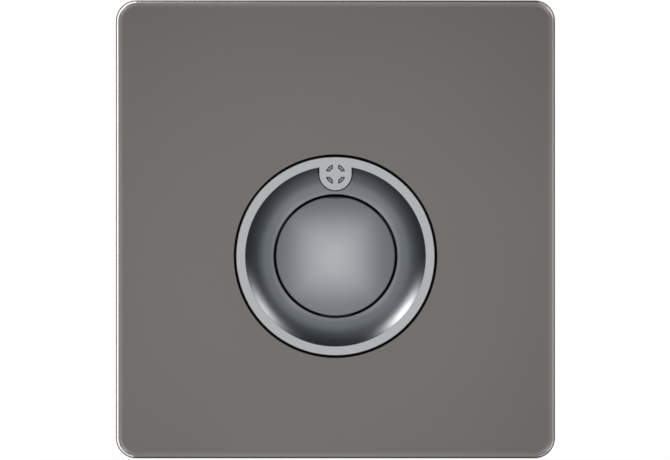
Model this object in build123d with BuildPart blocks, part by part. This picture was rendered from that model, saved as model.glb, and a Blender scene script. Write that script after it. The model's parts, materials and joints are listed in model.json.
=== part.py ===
from build123d import *
import math
import os

# Timer push button switch for a single wall box: a clip-on metal plate over a steel yoke, with a round
# timer module whose domed button sits in a dished bezel.
# Millimetres. X runs to the right, Z up and Y into the wall. The origin is midway between the two
# box screws, on the wall plane. Heights count from the wall plane towards the viewer, along -Y.

os.makedirs("parts", exist_ok=True)

# Front plate, pressed from sheet
plate_width = 86.0
plate_height = 89.7
plate_corner = 4.0
plate_rise = 5.0
plate_sheet = 1.0
plate_edge = 1.3
aperture_gap = 0.46
aperture_edge = 0.06
pry_notch_width = 8.0
pry_notch_height = 1.2

# Module axis, below the middle of the plate
module_drop = 5.25

# Bezel: flat ring, dished wall and a half-round lug for the locator light
bezel_proud = 0.6
bezel_edge = 0.06
bezel_wall = 1.2
bezel_foot_drop = 1.5
ring_width = 1.77
ring_depth = 2.0
dish_width = 5.65
dish_depth = 3.0
dish_curve = 11.3
dish_lip = 0.3
dish_land = 2.2
lug_radius = 3.35
lug_gap = 0.7
lug_face = 0.5
lug_edge = 0.2
lug_wall = 1.25
grille_outer = 1.95
grille_inner = 1.2
grille_bar = 1.05
snap_count = 3
snap_width = 5.0
snap_reach = 0.5
snap_height = 1.0
snap_clearance = 0.3

# Push button
button_radius = 11.65
button_gap = 0.35
button_stand = 0.6
button_travel = 1.5
button_wall = 0.9
button_skirt = 1.2
button_edge = 0.25
dome_rise = 1.8
catch_count = 3
catch_reach = 0.5
catch_width = 6.0
catch_height = 1.2
catch_clearance = 0.1
stem_radius = 2.0
stem_clearance = 0.2

# Return spring
spring_radius = 4.6
spring_wire = 0.6
spring_turns = 3.5
spring_pad_radius = 6.3
spring_collar_wall = 0.9
spring_collar_depth = 0.8
spring_sides = 6

# Deck: the moulding that carries the bezel, the button and the spring
deck_fit = 0.2
deck_wall = 1.6
deck_floor = 1.3
flange_reach = 4.0
flange_height = 1.2
well_clearance = 0.25
well_wall = 0.9
well_depth = 3.9
well_floor = 1.2
guide_wall = 1.2
guide_height = 1.5

# Light guide and locator light
guide_fit = 0.05
guide_shoulder = 0.4
pip_gap = 0.2
pip_drop = 0.1
led_length = 3.2
led_width = 2.7
led_height = 1.8
led_gap = 0.3

# Push switch on the circuit board
switch_size = 8.0
switch_height = 4.0
switch_clearance = 0.8
plunger_radius = 1.6
plunger_grip = 1.6
plunger_fit = 0.1
plunger_rest = 0.1
touch = 0.03

# Circuit board and the room for its parts
board_thickness = 1.6
board_fit = 0.4
component_room = 10.8

# Rear case
case_wall = 1.6
case_edge = 0.8
column_radius = 3.4
column_wall = 1.0
boss_radius = 2.6
column_bite = 0.2
case_screw_radius = 1.2
case_screw_grip = 9.0
case_screw_recess = 5.0
screw_fit = 0.1

# Terminals
terminal_count = 3
terminal_pitch = 9.0
terminal_width = 7.0
terminal_tall = 6.0
terminal_deep = 8.0
terminal_shelf = 1.0
terminal_inset = 0.3
terminal_fit = 0.2
wire_radius = 2.2
wire_inset = 3.0
terminal_screw_radius = 1.35
terminal_head_radius = 2.3
terminal_head_height = 1.8
terminal_stand = 0.9
drive_slot_width = 0.7
drive_slot_depth = 0.8

# Two module screws, which hold the deck's flange to the yoke
module_screw_count = 2
module_screw_radius = 1.2
module_head_radius = 2.1
module_head_height = 1.2

# Yoke: a steel tray that is screwed to the wall box
yoke_sheet = 1.2
yoke_rim = 2.6
yoke_corner = 3.0
yoke_inset = 5.0
yoke_aperture_gap = 0.4
fixing_centres = 60.3
fixing_slot_width = 4.0
fixing_slot_length = 7.0

# Liner: the moulded frame inside the front plate, with snap tongues that grip the yoke
liner_fit = 0.1
liner_web = 1.2
liner_web_width = 9.0
liner_skirt = 1.4
liner_foot = 0.6
tongue_width = 8.0
tongue_wall = 1.2
tongue_gap = 0.2
barb_reach = 0.6
barb_height = 0.7
barb_foot = 0.9
window_fit = 0.3
tongue_spread = 44.0

# Earth terminal on the back of the yoke
earth_x = -20.0
earth_z = 24.0
earth_size = 7.0
earth_deep = 8.0

# Timer electronics
chip_length = 9.4
chip_width = 6.3
chip_height = 3.2
chip_pins = 4
rectifier_length = 8.4
rectifier_width = 6.3
rectifier_height = 2.8
rectifier_pins = 2
pin_pitch = 2.54
pin_width = 0.5
pin_stand = 0.5
chip_x = -8.6
rectifier_x = 8.6
chip_gap = 0.6
resistor_length = 3.2
resistor_width = 1.6
resistor_height = 0.6
resistor_x = 9.0
resistor_z = 6.4
relay_length = 18.4
relay_width = 9.6
relay_height = 10.0
relay_x = -2.4
film_length = 13.0
film_width = 5.5
film_height = 9.4
component_edge = 0.5
component_gap = 1.1
can_radius = 3.6
can_height = 9.6
can_angle = 37.0
pot_size = 7.0
pot_height = 5.0
adjuster_radius = 2.2
adjuster_fit = 0.15
adjuster_grip = 1.6
adjuster_recess = 0.4

# Worked-out radii
bore_radius = button_radius + button_gap
ring_inner = bore_radius + dish_width
bezel_radius = ring_inner + ring_width
bezel_inner = bezel_radius - bezel_wall
aperture_radius = bezel_radius + aperture_gap
lug_offset = bore_radius + lug_gap + lug_radius
button_inner = button_radius - button_skirt
catch_radius = bore_radius + catch_reach
well_radius = catch_radius + well_clearance
well_outer = well_radius + well_wall
guide_hole = stem_radius + stem_clearance
guide_outer = guide_hole + guide_wall
socket_radius = bezel_radius + deck_fit
case_radius = socket_radius + deck_wall
case_inner = case_radius - case_wall
flange_radius = case_radius + flange_reach
yoke_aperture = case_radius + yoke_aperture_gap
module_screw_offset = (flange_radius + yoke_aperture) / 2
light_bore = lug_radius - lug_wall
light_radius = light_bore - guide_fit
light_lower = light_radius - guide_shoulder
board_radius = case_inner - board_fit
column_offset = case_inner + column_bite - column_radius
case_head_radius = column_radius - column_wall - screw_fit

# Worked-out heights above the wall plane
ring_face = plate_rise + bezel_proud
plate_inside = plate_rise - plate_sheet
dish_bottom = ring_face - dish_depth
dish_under = dish_bottom - bezel_wall
bezel_foot = dish_under - bezel_foot_drop
ring_under = ring_face - ring_depth
lug_under = ring_face - lug_face
button_rim = dish_bottom + button_stand
button_ceiling = button_rim - button_wall
catch_top = dish_under - catch_clearance
catch_foot = catch_top - catch_height
flange_top = yoke_sheet + flange_height
deck_under = bezel_foot - deck_floor
well_top = bezel_foot - well_depth
well_under = well_top - well_floor
switch_top = well_under - switch_clearance
plunger_top = switch_top + button_travel + plunger_rest
board_front = switch_top - switch_height
board_rear = board_front - board_thickness
case_rear = board_rear - component_room - case_wall
case_inside = case_rear + case_wall
shelf_rear = board_rear - terminal_shelf
led_top = board_front + led_height

# The button's dome is part of a sphere about a point on the module axis
dome_radius = (button_radius**2 + dome_rise**2) / (2 * dome_rise)

# Terminals stand as low as the round case lets their outer corners go
terminal_reach = terminal_pitch + terminal_width / 2
terminal_foot = math.sqrt(case_radius**2 - terminal_reach**2) - terminal_inset
terminal_step = terminal_foot - terminal_tall - terminal_fit
step_inner = terminal_step - case_wall

# Places of the parts on the board, from the module axis
chip_z = -(switch_size / 2 + chip_gap + chip_width / 2)
rectifier_z = -(switch_size / 2 + chip_gap + rectifier_width / 2)
relay_corner = relay_length / 2 + abs(relay_x)
relay_z = math.sqrt((case_inner - component_gap) ** 2 - relay_corner**2) - relay_width / 2
film_x = -(column_offset - column_radius - component_gap - film_length / 2)
film_z = -(step_inner - 2 * component_gap - film_width / 2)
can_offset = case_inner - component_gap - can_radius
can_x = can_offset * math.cos(math.radians(can_angle))
can_z = can_offset * math.sin(math.radians(can_angle))
pot_x = column_offset - column_radius - component_gap - pot_size / 2
pot_z = -(step_inner - component_gap - pot_size / 2)

module_axis = Axis((0, 0, -module_drop), (0, -1, 0))
module_profile = Plane((0, 0, -module_drop), x_dir=(1, 0, 0), z_dir=(0, 0, -1))


def wall_plane(height):
    """Plane parallel to the wall and centred on the plate, facing the viewer."""
    return Plane.XZ.offset(height)


def module_plane(height, x=0.0, z=0.0):
    """Plane parallel to the wall, centred on a point given from the module axis, facing the viewer."""
    return Plane((x, -height, z - module_drop), x_dir=(1, 0, 0), z_dir=(0, -1, 0))


def front_edge(builder, radius):
    """The round edge of the given radius that lies nearest the viewer."""
    rounds = builder.edges().filter_by(GeomType.CIRCLE)
    return rounds.filter_by(lambda edge: math.isclose(edge.radius, radius, abs_tol=0.001)).sort_by(Axis.Y)[0]


def yoke_half(size):
    """Half the yoke's outside size under a plate of the given size."""
    return size / 2 - yoke_inset


# Front plate: a shallow tray with a rolled edge, a round aperture and a notch for prising it off
with BuildPart() as front_plate:
    with BuildSketch(wall_plane(0)):
        RectangleRounded(plate_width, plate_height, plate_corner)
    extrude(amount=plate_rise)
    fillet(front_plate.faces().sort_by(Axis.Y)[0].edges(), plate_edge)
    with BuildSketch(wall_plane(0)):
        RectangleRounded(
            plate_width - 2 * plate_sheet,
            plate_height - 2 * plate_sheet,
            plate_corner - plate_sheet,
        )
    extrude(amount=plate_inside, mode=Mode.SUBTRACT)
    with BuildSketch(module_plane(plate_rise)):
        Circle(aperture_radius)
    extrude(amount=-2 * plate_sheet, mode=Mode.SUBTRACT)
    chamfer(front_edge(front_plate, aperture_radius), aperture_edge)
    with BuildSketch(wall_plane(0)):
        with Locations((0, -plate_height / 2)):
            Rectangle(pry_notch_width, 3 * plate_sheet)
    extrude(amount=pry_notch_height, mode=Mode.SUBTRACT)
front_plate.part.label = "front_plate"
export_step(front_plate.part, "parts/front_plate.step")

# Where the liner's tongues and the yoke's windows stand: two to a side, on all four sides
tongue_offsets = (-tongue_spread / 2, tongue_spread / 2)
tongue_places = [(side, along) for side in range(4) for along in tongue_offsets]


def rim_plane(side, along, height):
    """Plane at a point of the yoke's rim on one of its four sides: local x runs along the rim, y outwards."""
    turn = 90 * side
    out = yoke_half(plate_height if side % 2 == 0 else plate_width)
    outwards = Vector(0, 0, 1).rotate(Axis.Y, turn)
    sideways = Vector(1, 0, 0).rotate(Axis.Y, turn)
    place = outwards * out + sideways * along + Vector(0, -height, 0)
    return Plane(place, x_dir=sideways, z_dir=(0, -1, 0))


# Liner: a frame bonded inside the plate, with eight snap tongues
with BuildPart() as plate_liner:
    with BuildSketch(wall_plane(plate_inside)):
        RectangleRounded(
            plate_width - 2 * (plate_sheet + liner_fit),
            plate_height - 2 * (plate_sheet + liner_fit),
            plate_corner - plate_sheet,
        )
        Rectangle(
            plate_width - 2 * (plate_sheet + liner_web_width),
            plate_height - 2 * (plate_sheet + liner_web_width),
            mode=Mode.SUBTRACT,
        )
    extrude(amount=-liner_web)
    with BuildSketch(wall_plane(plate_inside - liner_web)):
        RectangleRounded(
            plate_width - 2 * (plate_sheet + liner_fit),
            plate_height - 2 * (plate_sheet + liner_fit),
            plate_corner - plate_sheet,
        )
        RectangleRounded(
            plate_width - 2 * (plate_sheet + liner_fit + liner_skirt),
            plate_height - 2 * (plate_sheet + liner_fit + liner_skirt),
            plate_corner - plate_sheet - liner_skirt,
            mode=Mode.SUBTRACT,
        )
    extrude(amount=-(plate_inside - liner_web - pry_notch_height - liner_foot))
    for side, along in tongue_places:
        with BuildSketch(rim_plane(side, along, liner_foot)):
            with Locations((0, tongue_gap)):
                Rectangle(tongue_width, tongue_wall, align=(Align.CENTER, Align.MIN))
        extrude(amount=plate_inside - liner_web - liner_foot)
        with BuildSketch(rim_plane(side, along, barb_foot)):
            with Locations((0, tongue_gap)):
                Rectangle(tongue_width, tongue_gap + barb_reach, align=(Align.CENTER, Align.MAX))
        extrude(amount=barb_height)
plate_liner.part.label = "plate_liner"
export_step(plate_liner.part, "parts/plate_liner.step")

# Yoke: a folded steel tray with the module aperture, the two fixing slots and windows for the tongues
with BuildPart() as mounting_yoke:
    with BuildSketch(wall_plane(0)):
        RectangleRounded(2 * yoke_half(plate_width), 2 * yoke_half(plate_height), yoke_corner)
    extrude(amount=yoke_rim)
    with BuildSketch(wall_plane(yoke_sheet)):
        RectangleRounded(
            2 * (yoke_half(plate_width) - yoke_sheet),
            2 * (yoke_half(plate_height) - yoke_sheet),
            yoke_corner - yoke_sheet,
        )
    extrude(amount=yoke_rim, mode=Mode.SUBTRACT)
    with BuildSketch(module_plane(0)):
        Circle(yoke_aperture)
        with PolarLocations(module_screw_offset, module_screw_count):
            Circle(module_screw_radius + screw_fit)
    extrude(amount=yoke_sheet, mode=Mode.SUBTRACT)
    with BuildSketch(wall_plane(0)):
        with GridLocations(fixing_centres, 0, 2, 1):
            SlotOverall(fixing_slot_length, fixing_slot_width)
    extrude(amount=yoke_sheet, mode=Mode.SUBTRACT)
    for side, along in tongue_places:
        with BuildSketch(rim_plane(side, along, barb_foot - window_fit)):
            Rectangle(tongue_width + 2 * window_fit, 2.5 * yoke_sheet)
        extrude(amount=barb_height + 2 * window_fit, mode=Mode.SUBTRACT)
mounting_yoke.part.label = "mounting_yoke"
export_step(mounting_yoke.part, "parts/mounting_yoke.step")


def grille_slots(inset):
    # The four slots of the lug's grille, every side drawn in by the inset
    with Locations((0, lug_offset)):
        Circle(grille_outer - inset)
        Circle(grille_inner + inset, mode=Mode.SUBTRACT)
        Rectangle(grille_bar + 2 * inset, 2 * lug_radius, mode=Mode.SUBTRACT)
        Rectangle(2 * lug_radius, grille_bar + 2 * inset, mode=Mode.SUBTRACT)


# The bezel's lug: a round-ended block from the ring into the dish, with a sloped rim
with BuildPart() as bezel_lug:
    with BuildSketch(module_plane(dish_under)):
        with Locations((0, lug_offset)):
            Circle(lug_radius)
            Rectangle(2 * lug_radius, bezel_inner - lug_offset, align=(Align.CENTER, Align.MIN))
    extrude(amount=ring_face - dish_under)
    chamfer(bezel_lug.faces().sort_by(Axis.Y)[0].edges(), lug_edge)

# Bezel: ring, dish and skirt turned in one profile, then the lug with its four-slot grille
with BuildPart() as bezel:
    with BuildSketch(module_profile):
        with BuildLine():
            RadiusArc((bore_radius, dish_bottom), (ring_inner, ring_face), -dish_curve)
            Polyline(
                (ring_inner, ring_face),
                (bezel_radius, ring_face),
                (bezel_radius, bezel_foot),
                (bezel_inner, bezel_foot),
                (bezel_inner, ring_under),
                (bore_radius + dish_land, dish_under),
                (bore_radius, dish_under),
                (bore_radius, dish_bottom),
            )
        make_face()
    revolve(axis=module_axis)
    chamfer(front_edge(bezel, bezel_radius), bezel_edge)
    fillet(front_edge(bezel, bore_radius), dish_lip)
    add(bezel_lug.part)
    with BuildSketch(module_plane(dish_under)):
        with Locations((0, lug_offset)):
            Circle(light_bore)
    extrude(amount=lug_under - dish_under, mode=Mode.SUBTRACT)
    with BuildSketch(module_plane(ring_face)):
        grille_slots(0)
    extrude(amount=-lug_face, mode=Mode.SUBTRACT)
    with BuildSketch(module_plane(bezel_foot + snap_clearance)):
        with PolarLocations(bezel_radius, snap_count, start_angle=30):
            Rectangle(2 * snap_reach, snap_width)
        Circle(bezel_radius - bezel_wall / 2, mode=Mode.SUBTRACT)
    extrude(amount=snap_height)
bezel.part.label = "bezel"
export_step(bezel.part, "parts/bezel.step")

# Push button: a domed cap on a skirt, with three catches, a spring collar and a stem
with BuildPart() as push_button:
    with BuildSketch(module_profile):
        with BuildLine():
            RadiusArc((0, button_rim + dome_rise), (button_radius, button_rim), dome_radius)
            Polyline(
                (button_radius, button_rim),
                (button_radius, catch_foot),
                (button_inner, catch_foot),
                (button_inner, button_ceiling),
                (0, button_ceiling),
                (0, button_rim + dome_rise),
            )
        make_face()
    revolve(axis=module_axis)
    fillet(front_edge(push_button, button_radius), button_edge)
    with BuildSketch(module_plane(button_ceiling)):
        Circle(spring_pad_radius)
        Circle(spring_pad_radius - spring_collar_wall, mode=Mode.SUBTRACT)
    extrude(amount=-spring_collar_depth)
    with BuildSketch(module_plane(button_ceiling)):
        Circle(stem_radius)
    extrude(amount=plunger_top + touch - button_ceiling)
    with BuildSketch(module_plane(catch_foot)):
        with PolarLocations(button_radius, catch_count, start_angle=30):
            Rectangle(4 * catch_reach, catch_width)
        Circle(catch_radius, mode=Mode.INTERSECT)
        Circle((button_radius + button_inner) / 2, mode=Mode.SUBTRACT)
    extrude(amount=catch_height)
push_button.part.label = "push_button"
export_step(push_button.part, "parts/push_button.step")

# Return spring, from the floor of the deck's well to the button's ceiling. The wire is six-sided.
spring_rise = button_ceiling - well_top - spring_wire
with BuildPart() as return_spring:
    with BuildLine() as spring_path:
        Helix(
            pitch=spring_rise / spring_turns,
            height=spring_rise,
            radius=spring_radius,
            center=(0, -(well_top + spring_wire / 2), -module_drop),
            direction=(0, -1, 0),
        )
    with BuildSketch(Plane(spring_path.line @ 0, z_dir=spring_path.line % 0)):
        RegularPolygon(spring_wire / 2, spring_sides)
    sweep(path=spring_path.line, is_frenet=True)
return_spring.part.label = "return_spring"
export_step(return_spring.part, "parts/return_spring.step")

# Deck: flange on the yoke, socket for the bezel, well for the button and spring, guide for the stem
with BuildPart() as button_deck:
    with BuildSketch(module_profile):
        with BuildLine():
            Polyline(
                (socket_radius, flange_top),
                (flange_radius, flange_top),
                (flange_radius, yoke_sheet),
                (case_radius, yoke_sheet),
                (case_radius, deck_under),
                (well_outer, deck_under),
                (well_outer, well_under),
                (guide_hole, well_under),
                (guide_hole, well_top + guide_height),
                (guide_outer, well_top + guide_height),
                (guide_outer, well_top),
                (well_radius, well_top),
                (well_radius, bezel_foot),
                (socket_radius, bezel_foot),
                close=True,
            )
        make_face()
    revolve(axis=module_axis)
    with BuildSketch(module_plane(deck_under)):
        with GridLocations(2 * column_offset, 0, 2, 1):
            Circle(boss_radius)
    extrude(amount=board_front - deck_under)
    with BuildSketch(module_plane(board_front)):
        with GridLocations(2 * column_offset, 0, 2, 1):
            Circle(case_screw_radius + screw_fit)
    extrude(amount=case_screw_grip - 2 * board_thickness, mode=Mode.SUBTRACT)
    with BuildSketch(module_plane(bezel_foot)):
        with Locations((0, lug_offset)):
            Circle(light_lower + guide_fit)
    extrude(amount=-2 * deck_floor, mode=Mode.SUBTRACT)
    with BuildSketch(module_plane(yoke_sheet)):
        with PolarLocations(module_screw_offset, module_screw_count):
            Circle(module_screw_radius + screw_fit)
    extrude(amount=flange_height, mode=Mode.SUBTRACT)
    with BuildSketch(module_plane(bezel_foot)):
        with PolarLocations(bezel_radius, snap_count, start_angle=30):
            Rectangle(2 * (snap_reach + deck_fit), snap_width + 2 * snap_clearance)
    extrude(amount=snap_height + 2 * snap_clearance, mode=Mode.SUBTRACT)
button_deck.part.label = "button_deck"
export_step(button_deck.part, "parts/button_deck.step")

# Module screws: slotted pan heads on the flange, shanks in the yoke
with BuildPart() as module_screws:
    with BuildSketch(module_plane(flange_top)):
        with PolarLocations(module_screw_offset, module_screw_count):
            Circle(module_head_radius)
    extrude(amount=module_head_height)
    with BuildSketch(module_plane(flange_top + module_head_height)):
        with PolarLocations(module_screw_offset, module_screw_count):
            Rectangle(drive_slot_width, 2 * module_head_radius)
    extrude(amount=-drive_slot_depth, mode=Mode.SUBTRACT)
    with BuildSketch(module_plane(flange_top)):
        with PolarLocations(module_screw_offset, module_screw_count):
            Circle(module_screw_radius)
    extrude(amount=screw_fit - flange_top)
module_screws.part.label = "module_screws"
export_step(module_screws.part, "parts/module_screws.step")

# Light guide: a clear rod with a shoulder on the deck and four pips that stand in the lug's grille
with BuildPart() as light_guide:
    with BuildSketch(module_plane(bezel_foot, z=lug_offset)):
        Circle(light_radius)
    extrude(amount=lug_under - bezel_foot)
    with BuildSketch(module_plane(lug_under)):
        grille_slots(pip_gap)
    extrude(amount=lug_face - pip_drop)
    with BuildSketch(module_plane(bezel_foot, z=lug_offset)):
        Circle(light_lower)
    extrude(amount=led_top + led_gap - bezel_foot)
light_guide.part.label = "light_guide"
export_step(light_guide.part, "parts/light_guide.step")

# Locator light: a surface-mounted lamp on the board, under the light guide
with BuildPart() as locator_led:
    with BuildSketch(module_plane(board_front, z=lug_offset)):
        Rectangle(led_length, led_width)
    extrude(amount=led_height)
    chamfer(locator_led.edges().filter_by(Axis.Y), led_gap)
locator_led.part.label = "locator_led"
export_step(locator_led.part, "parts/locator_led.step")

# Circuit board, clamped between the deck's bosses and the case's columns
with BuildPart() as circuit_board:
    with BuildSketch(module_plane(board_rear)):
        Circle(board_radius)
        with GridLocations(2 * column_offset, 0, 2, 1):
            Circle(case_screw_radius + screw_fit, mode=Mode.SUBTRACT)
    extrude(amount=board_thickness)
circuit_board.part.label = "circuit_board"
export_step(circuit_board.part, "parts/circuit_board.step")

# Push switch: a square body with a bore for its plunger
with BuildPart() as switch_body:
    with BuildSketch(module_plane(board_front)):
        Rectangle(switch_size, switch_size)
    extrude(amount=switch_height)
    chamfer(switch_body.edges().filter_by(Axis.Y), component_edge)
    with BuildSketch(module_plane(switch_top)):
        Circle(plunger_radius + plunger_fit)
    extrude(amount=-(plunger_grip + button_travel + plunger_rest), mode=Mode.SUBTRACT)
switch_body.part.label = "switch_body"
export_step(switch_body.part, "parts/switch_body.step")

with BuildPart() as switch_plunger:
    with BuildSketch(module_plane(switch_top - plunger_grip)):
        Circle(plunger_radius)
    extrude(amount=plunger_top - switch_top + plunger_grip)
switch_plunger.part.label = "switch_plunger"
export_step(switch_plunger.part, "parts/switch_plunger.step")


def pinned_package(x, z, length, width, height, pins):
    """A moulded chip package on the front of the board, with a row of legs down each long side."""
    with BuildPart() as package:
        with BuildSketch(module_plane(board_front + pin_stand, x, z)):
            Rectangle(length, width)
        extrude(amount=height - pin_stand)
        chamfer(package.faces().sort_by(Axis.Y)[0].edges(), component_edge)
        with BuildSketch(module_plane(board_front, x, z)):
            with GridLocations(pin_pitch, width, pins, 2):
                Rectangle(pin_width, pin_width)
        extrude(amount=height / 2)
    return package


timer_chip = pinned_package(chip_x, chip_z, chip_length, chip_width, chip_height, chip_pins)
timer_chip.part.label = "timer_chip"
export_step(timer_chip.part, "parts/timer_chip.step")

rectifier = pinned_package(
    rectifier_x, rectifier_z, rectifier_length, rectifier_width, rectifier_height, rectifier_pins
)
rectifier.part.label = "rectifier"
export_step(rectifier.part, "parts/rectifier.step")

# Surface-mounted resistors, one each side of the push switch
with BuildPart() as resistors:
    with BuildSketch(module_plane(board_front, z=resistor_z)):
        with GridLocations(2 * resistor_x, 0, 2, 1):
            Rectangle(resistor_width, resistor_length)
    extrude(amount=resistor_height)
resistors.part.label = "resistors"
export_step(resistors.part, "parts/resistors.step")

# Relay and film capacitor: sealed blocks on the back of the board
with BuildPart() as relay:
    with BuildSketch(module_plane(board_rear, relay_x, relay_z)):
        Rectangle(relay_length, relay_width)
    extrude(amount=-relay_height)
    chamfer(relay.edges().filter_by(Axis.Y), component_edge)
relay.part.label = "relay"
export_step(relay.part, "parts/relay.step")

with BuildPart() as film_capacitor:
    with BuildSketch(module_plane(board_rear, film_x, film_z)):
        Rectangle(film_length, film_width)
    extrude(amount=-film_height)
    chamfer(film_capacitor.edges().filter_by(Axis.Y), component_edge)
film_capacitor.part.label = "film_capacitor"
export_step(film_capacitor.part, "parts/film_capacitor.step")

# Smoothing capacitor: a round can with a bevelled end
with BuildPart() as smoothing_capacitor:
    with BuildSketch(module_plane(board_rear, can_x, can_z)):
        Circle(can_radius)
    extrude(amount=-can_height)
    chamfer(smoothing_capacitor.faces().sort_by(Axis.Y)[-1].edges(), component_edge)
smoothing_capacitor.part.label = "smoothing_capacitor"
export_step(smoothing_capacitor.part, "parts/smoothing_capacitor.step")

# Delay setting: a preset body on the board and a spindle that reaches the back of the case
with BuildPart() as timer_pot:
    with BuildSketch(module_plane(board_rear, pot_x, pot_z)):
        Rectangle(pot_size, pot_size)
    extrude(amount=-pot_height)
    chamfer(timer_pot.edges().filter_by(Axis.Y), component_edge)
    with BuildSketch(module_plane(board_rear - pot_height, pot_x, pot_z)):
        Circle(adjuster_radius + adjuster_fit)
    extrude(amount=adjuster_grip + adjuster_fit, mode=Mode.SUBTRACT)
timer_pot.part.label = "timer_pot"
export_step(timer_pot.part, "parts/timer_pot.step")

with BuildPart() as time_adjuster:
    with BuildSketch(module_plane(board_rear - pot_height + adjuster_grip, pot_x, pot_z)):
        Circle(adjuster_radius)
    extrude(amount=case_rear + adjuster_recess - (board_rear - pot_height + adjuster_grip))
    with BuildSketch(module_plane(case_rear + adjuster_recess, pot_x, pot_z)):
        Rectangle(drive_slot_width, 2 * adjuster_radius)
    extrude(amount=drive_slot_depth, mode=Mode.SUBTRACT)
time_adjuster.part.label = "time_adjuster"
export_step(time_adjuster.part, "parts/time_adjuster.step")

# Terminal clamps: brass blocks with a wire hole from below and a screw from the back
terminal_middle = -(terminal_step + terminal_fit + terminal_tall / 2)
terminal_rear = shelf_rear - terminal_deep
wire_height = shelf_rear - wire_inset
wire_plane = Plane((0, -wire_height, -module_drop - terminal_step), x_dir=(1, 0, 0), z_dir=(0, 0, -1))
with BuildPart() as terminal_clamps:
    with BuildSketch(module_plane(shelf_rear, z=terminal_middle)):
        with GridLocations(terminal_pitch, 0, terminal_count, 1):
            Rectangle(terminal_width, terminal_tall)
    extrude(amount=-terminal_deep)
    with BuildSketch(wire_plane):
        with GridLocations(terminal_pitch, 0, terminal_count, 1):
            Circle(wire_radius)
    extrude(amount=2 * terminal_tall, mode=Mode.SUBTRACT)
    with BuildSketch(module_plane(terminal_rear, z=terminal_middle)):
        with GridLocations(terminal_pitch, 0, terminal_count, 1):
            Circle(terminal_screw_radius + screw_fit)
    extrude(amount=wire_height - terminal_rear, mode=Mode.SUBTRACT)
terminal_clamps.part.label = "terminal_clamps"
export_step(terminal_clamps.part, "parts/terminal_clamps.step")

# Terminal screws, backed off so that the wire holes are clear
with BuildPart() as terminal_screws:
    with BuildSketch(module_plane(terminal_rear - terminal_stand, z=terminal_middle)):
        with GridLocations(terminal_pitch, 0, terminal_count, 1):
            Circle(terminal_head_radius)
    extrude(amount=-terminal_head_height)
    with BuildSketch(module_plane(terminal_rear - terminal_stand - terminal_head_height, z=terminal_middle)):
        with GridLocations(terminal_pitch, 0, terminal_count, 1):
            Rectangle(2 * terminal_head_radius, drive_slot_width)
    extrude(amount=drive_slot_depth, mode=Mode.SUBTRACT)
    with BuildSketch(module_plane(terminal_rear - terminal_stand, z=terminal_middle)):
        with GridLocations(terminal_pitch, 0, terminal_count, 1):
            Circle(terminal_screw_radius)
    extrude(amount=wire_height - wire_radius - screw_fit - terminal_rear + terminal_stand)
terminal_screws.part.label = "terminal_screws"
export_step(terminal_screws.part, "parts/terminal_screws.step")

# Rear case: a round can, stepped at the bottom for the terminals, with two screw columns
with BuildPart() as module_case:
    with BuildSketch(module_plane(case_rear)):
        Circle(case_radius)
    extrude(amount=deck_under - case_rear)
    chamfer(module_case.faces().sort_by(Axis.Y)[-1].edges(), case_edge)
    with BuildSketch(module_plane(board_rear)):
        Circle(case_inner)
    extrude(amount=deck_under - board_rear, mode=Mode.SUBTRACT)
    with BuildSketch(module_plane(case_inside)):
        Circle(case_inner)
        with Locations((0, -step_inner)):
            Rectangle(2 * case_radius, case_radius, align=(Align.CENTER, Align.MAX), mode=Mode.SUBTRACT)
        with GridLocations(2 * column_offset, 0, 2, 1):
            Circle(column_radius, mode=Mode.SUBTRACT)
    extrude(amount=board_rear - case_inside, mode=Mode.SUBTRACT)
    with BuildSketch(module_plane(case_rear)):
        with Locations((0, -terminal_step)):
            with GridLocations(terminal_pitch, 0, terminal_count, 1):
                Rectangle(
                    terminal_width + 2 * terminal_fit,
                    case_radius,
                    align=(Align.CENTER, Align.MAX),
                )
    extrude(amount=shelf_rear - case_rear, mode=Mode.SUBTRACT)
    with BuildSketch(module_plane(case_rear)):
        with GridLocations(2 * column_offset, 0, 2, 1):
            Circle(case_screw_radius + screw_fit)
    extrude(amount=board_rear - case_rear, mode=Mode.SUBTRACT)
    with BuildSketch(module_plane(case_rear)):
        with GridLocations(2 * column_offset, 0, 2, 1):
            Circle(case_head_radius + screw_fit)
    extrude(amount=case_screw_recess, mode=Mode.SUBTRACT)
    with BuildSketch(module_plane(case_rear, pot_x, pot_z)):
        Circle(adjuster_radius + adjuster_fit)
    extrude(amount=case_wall, mode=Mode.SUBTRACT)
module_case.part.label = "module_case"
export_step(module_case.part, "parts/module_case.step")

# Case screws: from the bottom of the column recesses into the deck's bosses
case_seat = case_rear + case_screw_recess
with BuildPart() as case_screws:
    with BuildSketch(module_plane(case_seat)):
        with GridLocations(2 * column_offset, 0, 2, 1):
            Circle(case_head_radius)
    extrude(amount=-module_head_height)
    with BuildSketch(module_plane(case_seat - module_head_height)):
        with GridLocations(2 * column_offset, 0, 2, 1):
            Rectangle(drive_slot_width, 2 * case_head_radius)
    extrude(amount=drive_slot_depth, mode=Mode.SUBTRACT)
    with BuildSketch(module_plane(case_seat)):
        with GridLocations(2 * column_offset, 0, 2, 1):
            Circle(case_screw_radius)
    extrude(amount=board_rear + case_screw_grip - 2 * board_thickness - case_seat)
case_screws.part.label = "case_screws"
export_step(case_screws.part, "parts/case_screws.step")

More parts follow.
